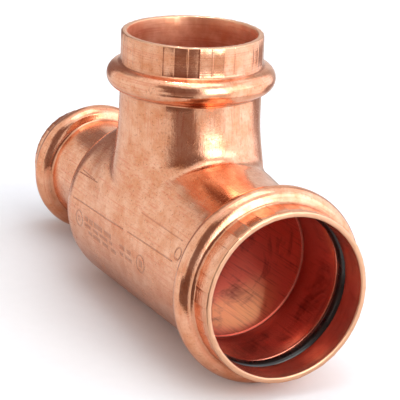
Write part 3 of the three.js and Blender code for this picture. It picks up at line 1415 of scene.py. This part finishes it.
def direction(azimuth: float, elevation: float) -> Vector:
    """The way to a place in the studio, by its bearing from +X towards +Y and its height, in degrees."""
    a, e = math.radians(azimuth), math.radians(elevation)
    return Vector((math.cos(a) * math.cos(e), math.sin(a) * math.cos(e), math.sin(e)))


def hide_from(made: bpy.types.Object, *rays: str) -> None:
    """Hides an object from the named kinds of light ray.

    Args:
        made: The object.
        *rays: The kinds, such as camera or glossy.
    """
    for ray in rays:
        setattr(made, "visible_" + ray, False)


@dataclass(frozen=True)
class Zone:
    """A soft-edged part of the room that glows more or less than the rest.

    Bearings go from +X towards +Y and heights from the horizon, all in degrees.
    """

    bearing: float
    height: float
    half_width: float
    half_height: float
    softness: float
    glow: tuple[float, float, float]


@dataclass(frozen=True)
class SoftBox:
    """A soft light: a glowing sheet that faces the tee."""

    name: str
    azimuth: float
    elevation: float
    distance: float
    width: float
    height: float
    radiance: float
    aim: Spot = (0.0, 0.0, 0.0)
    spread: float = 180.0

    def build(self) -> bpy.types.Object:
        """Builds the light, with its power set so that its face glows with its radiance.

        Returns:
            The light.
        """
        light = bpy.data.lights.new(self.name, "AREA")
        light.spread = math.radians(self.spread)
        light.shape = "RECTANGLE"
        light.size, light.size_y = self.width * MM, self.height * MM
        light.energy = self.radiance * math.pi * light.size * light.size_y
        made = bpy.data.objects.new(self.name, light)
        way = direction(self.azimuth, self.elevation)
        made.location = (Vector(self.aim) + way * self.distance) * MM
        made.rotation_euler = way.to_track_quat("Z", "Y").to_euler()
        made.visible_camera = False
        bpy.context.scene.collection.objects.link(made)
        return made


@dataclass
class Studio:
    """The camera, the pale floor and the soft room round the tee."""

    large: Socket
    small: Socket
    azimuth: float = 62.99
    elevation: float = 17.66
    roll: float = 2.34
    distance: float = 509.3
    target: Spot = (1.81, 2.55, 7.0)
    focal_length: float = 203.57
    sensor_width: float = 36.0
    floor_size: float = 6000.0
    floor_sink: float = 0.03
    # The grey disc that only the copper mirrors: a painted darker reflection of the floor.
    grey_disc_radius: float = 88.0
    grey_disc_sink: float = 0.02
    sheet_columns: int = 96
    shell_share: float = 0.75
    shell_rows: int = 24
    shell_columns: int = 48
    # The low card that only the copper mirrors, painting dark reflections on the beads.
    card_rows: int = 4
    card_columns: int = 24
    card_radius: float = 100.0
    card_bearings: tuple[float, float] = (294.0, 339.0)
    card_heights: tuple[float, float] = (-30.0, 4.5)
    room_glow: tuple[float, float, float] = (0.86, 0.82, 0.79)
    zones: tuple[Zone, ...] = (
        Zone(0.0, 90.0, 400.0, 32.0, 14.0, (1.2, 1.2, 1.25)),
        Zone(240.0, 20.0, 52.0, 36.0, 16.0, (0.92, 0.9, 0.88)),
        Zone(72.0, 12.0, 44.0, 42.0, 10.0, (1.5, 1.5, 1.6)),
        Zone(128.0, 12.0, 8.0, 26.0, 6.0, (0.6, 0.55, 0.53)),
        Zone(113.0, -20.0, 16.0, 10.0, 4.0, (0.45, 0.36, 0.34)),
        Zone(157.0, -22.0, 14.0, 14.0, 5.0, (0.42, 0.36, 0.33)),
        Zone(2.0, 26.0, 12.0, 32.0, 5.0, (1.4, 1.4, 1.5)),
        Zone(24.0, 30.0, 4.0, 34.0, 4.0, (0.85, 0.8, 0.78)),
        Zone(48.0, 27.0, 18.0, 17.0, 6.0, (2.4, 2.4, 2.6)),
        Zone(11.0, 22.0, 15.0, 22.0, 3.0, (4.8, 4.7, 4.5)),
        Zone(180.0, 15.0, 16.0, 26.0, 5.0, (0.31, 0.22, 0.20)),
        Zone(191.0, 42.0, 15.0, 9.0, 5.0, (0.45, 0.38, 0.36)),
        Zone(298.0, 42.0, 18.0, 12.0, 4.0, (0.32, 0.24, 0.22)),
        Zone(320.0, 22.0, 25.0, 25.0, 4.0, (0.24, 0.155, 0.135)),
        Zone(323.0, -8.0, 18.0, 11.0, 5.0, (0.3, 0.2, 0.175)),
    )
    lights: tuple[SoftBox, ...] = (
        SoftBox(
            name="top_light", azimuth=20.0, elevation=84.0, distance=800.0,
            width=500.0, height=500.0, radiance=1.5,
        ),
        SoftBox(
            name="branch_light", azimuth=200.0, elevation=78.0, distance=330.0,
            width=24.0, height=24.0, radiance=0.95, aim=(12.0, 5.0, -16.0), spread=6.0,
        ),
    )

    def camera(self) -> bpy.types.Object:
        """Places the camera.

        Returns:
            The camera.
        """
        azimuth, elevation, roll = map(math.radians, (self.azimuth, self.elevation, self.roll))
        back = Vector((
            math.sin(azimuth) * math.cos(elevation),
            -math.cos(azimuth) * math.cos(elevation),
            math.sin(elevation),
        ))
        level = Vector((math.cos(azimuth), math.sin(azimuth), 0.0))
        upright = back.cross(level)
        right = level * math.cos(roll) + upright * math.sin(roll)
        up = upright * math.cos(roll) - level * math.sin(roll)
        lens = bpy.data.cameras.new("camera")
        lens.lens = self.focal_length
        lens.sensor_width = self.sensor_width
        lens.clip_start = 0.01
        camera = bpy.data.objects.new("camera", lens)
        camera.matrix_world = Matrix((right, up, back)).transposed().to_4x4()
        camera.location = (Vector(self.target) + back * self.distance) * MM
        bpy.context.scene.collection.objects.link(camera)
        bpy.context.scene.camera = camera
        return camera

    def resting_plane(self) -> tuple[float, float]:
        """Finds the plane that touches the large and the small bead from below.

        Returns:
            Its tilt, in radians, and its distance under the crossing.
        """
        crowns = [s.bead_centre[0] + s.bead_half for s in (self.large, self.small)]
        tilt = math.atan((crowns[0] - crowns[1]) / (self.large.ring_at + self.small.ring_at))
        return tilt, crowns[0] * math.cos(tilt) - self.large.ring_at * math.sin(tilt)

    def sheet(
        self, name: str, rings: Sequence[float], sink: float, paper: StudioPaper
    ) -> bpy.types.Object:
        """A round sheet that lies on the resting plane.

        Args:
            name: The sheet's name.
            rings: The radii of its rings of points.
            sink: How far it lies under the plane.
            paper: Its finish.

        Returns:
            The sheet.
        """
        tilt, drop = self.resting_plane()
        angles = np.linspace(0.0, 2 * math.pi, self.sheet_columns, endpoint=False)
        points = on_line(Line.BRANCH, angles[None, :], np.array(rings)[:, None], np.float64(0.0))
        made = weld(name, [Sheet(points)])
        made.data.materials.append(paper.make())
        made.rotation_euler = (0.0, tilt, 0.0)
        made.location = Vector((-math.sin(tilt), 0.0, -math.cos(tilt))) * (drop + sink) * MM
        return made

    def floor(self) -> None:
        """The paper that the tee lies on, and a smaller grey disc that only the copper mirrors: a
        painted darker reflection of the floor round the tee.
        """
        floor_rings = (0.01, 60.0, 400.0, self.floor_size / 2)
        floor = self.sheet("floor", floor_rings, self.floor_sink, StudioPaper())
        hide_from(floor, "glossy")
        # Painted reflection: the copper mirrors this grey disc in place of the floor, so the floor round
        # the tee looks darker in it.
        grey = StudioPaper(name="reflection_only_grey", light="#D9D5D2", dark="#D2CECB", fibre_size=5.0)
        grey_disc_rings = (0.01, 60.0, self.grey_disc_radius)
        grey_disc = self.sheet("reflection_only_grey_disc", grey_disc_rings, self.grey_disc_sink, grey)
        hide_from(grey_disc, "camera", "diffuse", "shadow")

    def dark_reflection_card(self) -> None:
        """A painted dark reflection: a low card at the front left that only the copper mirrors, for the
        beads' flanks.
        """
        around = np.radians(np.linspace(*self.card_bearings, self.card_columns))[None, :]
        rise = np.linspace(*self.card_heights, self.card_rows)[:, None]
        points = on_line(Line.BRANCH, around, np.float64(self.card_radius), rise)
        made = weld("reflection_only_dark_card", [Sheet(points, closed=False)])
        umber = StudioPaper(name="reflection_only_umber", light="#7C6155", dark="#75594E", fibre_size=4.0)
        made.data.materials.append(umber.make())
        hide_from(made, "camera", "diffuse", "shadow")

    def backdrop(self) -> None:
        """A white shell far behind everything, for the camera alone."""
        rings = np.linspace(0.001, math.pi - 0.001, self.shell_rows)[:, None]
        around = np.linspace(0.0, 2 * math.pi, self.shell_columns, endpoint=False)[None, :]
        size = self.floor_size * self.shell_share
        points = on_line(Line.BRANCH, around, size * np.sin(rings), size * np.cos(rings))
        shell = weld("backdrop", [Sheet(points)])
        material, tree = new_material("paper_backlit_white")
        glow = node(tree, "Emission", {"Color": linear("#FFFFFF"), "Strength": 1.0})
        node(tree, "OutputMaterial", {"Surface": glow})
        shell.data.materials.append(material)
        hide_from(shell, "diffuse", "glossy", "transmission", "shadow", "volume_scatter")

    def air(self) -> None:
        """The pale room round the tee, with its soft lights and its darker openings."""
        world = bpy.data.worlds.new("studio")
        bpy.context.scene.world = world
        world.use_nodes = True
        tree = world.node_tree
        tree.nodes.clear()
        way = node(tree, "TexCoord", {}, "Generated")
        split = node(tree, "SeparateXYZ", {"Vector": way}, "X").node
        bearing = node(tree, "Math", {
            "0": split.outputs["Y"], "1": split.outputs["X"],
        }, operation="ARCTAN2")
        bearing = node(tree, "Math", {"0": bearing, "1": 180.0 / math.pi}, operation="MULTIPLY")
        height = node(tree, "Math", {"0": split.outputs["Z"]}, operation="ARCSINE")
        height = node(tree, "Math", {"0": height, "1": 180.0 / math.pi}, operation="MULTIPLY")
        glow: object = (*self.room_glow, 1.0)
        for zone in self.zones:
            shares = []
            for angle, middle, half, period in (
                (bearing, zone.bearing, zone.half_width, 360.0),
                (height, zone.height, zone.half_height, 0.0),
            ):
                off = node(tree, "Math", {"0": angle, "1": middle}, operation="SUBTRACT")
                if period:
                    off = node(tree, "Math", {"0": off, "1": -180.0, "2": 180.0}, operation="WRAP")
                off = node(tree, "Math", {"0": off}, operation="ABSOLUTE")
                shares.append(node(tree, "MapRange", {
                    "Value": off, "From Min": half + zone.softness, "From Max": half - zone.softness,
                }, interpolation_type="SMOOTHSTEP"))
            share = node(tree, "Math", {"0": shares[0], "1": shares[1]}, operation="MULTIPLY")
            glow = node(tree, "Mix", {
                "Factor": share, "A": glow, "B": (*zone.glow, 1.0),
            }, data_type="RGBA")
        light = node(tree, "Background", {"Color": glow, "Strength": 1.0})
        node(tree, "OutputWorld", {"Surface": light})

    def build(self) -> None:
        """Builds the whole studio."""
        self.camera()
        self.floor()
        self.dark_reflection_card()
        self.backdrop()
        self.air()
        for light in self.lights:
            light.build()
        bpy.context.scene.view_settings.view_transform = "Standard"


def read_socket(node_name: str, line: Line, **sizes: float) -> Socket:
    """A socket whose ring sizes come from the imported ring.

    Args:
        node_name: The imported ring.
        line: The centre line that the socket is on.
        **sizes: The socket's own sizes.

    Returns:
        The socket.
    """
    low, high = (np.array(corner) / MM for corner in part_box(node_name))
    body = [np.array(corner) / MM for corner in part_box("tee_body")]
    axis = 0 if line is Line.RUN else 2
    side = 1 if low[axis] + high[axis] > 0 else -1
    section = float(high[axis] - low[axis])
    return Socket(
        line=line,
        side=side,
        rim_at=float(abs(body[1 if side > 0 else 0][axis])),
        ring_at=float(abs(low[axis] + high[axis]) / 2),
        ring_centre=float(high[1] - low[1] - section) / 2,
        ring_section=section,
        **sizes,
    )


def main() -> None:
    """Builds the tee's looks in order."""
    logging.basicConfig(level=logging.INFO, format="%(name)s: %(message)s")
    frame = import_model()
    LOG.info("frame with %d nodes", len(frame["nodes"]))
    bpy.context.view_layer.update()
    large = read_socket(
        "run_large_oring", Line.RUN, tube_diameter=34.925, insertion_depth=25.4,
        guide_wall=1.39, barrel_wall=1.54,
    )
    small = read_socket(
        "run_small_oring", Line.RUN, tube_diameter=22.225, insertion_depth=22.2,
        guide_wall=1.29, barrel_wall=1.34,
    )
    branch = read_socket(
        "branch_oring", Line.BRANCH, tube_diameter=28.575, insertion_depth=22.2,
        guide_wall=1.41, barrel_wall=1.33,
    )
    body = CopperBody(large=large, small=small, branch=branch).build(
        FormedCopper(barrel_radius=large.barrel).make()
    )
    LOG.info("built %s", body.name)
    rubber = MouldedEpdm().make()
    for name, socket in (
        ("run_large_oring", large), ("run_small_oring", small), ("branch_oring", branch),
    ):
        LOG.info("built %s", SealRing(name, socket).build(rubber).name)
    Studio(large=large, small=small).build()


if __name__ == "__main__":
    main()
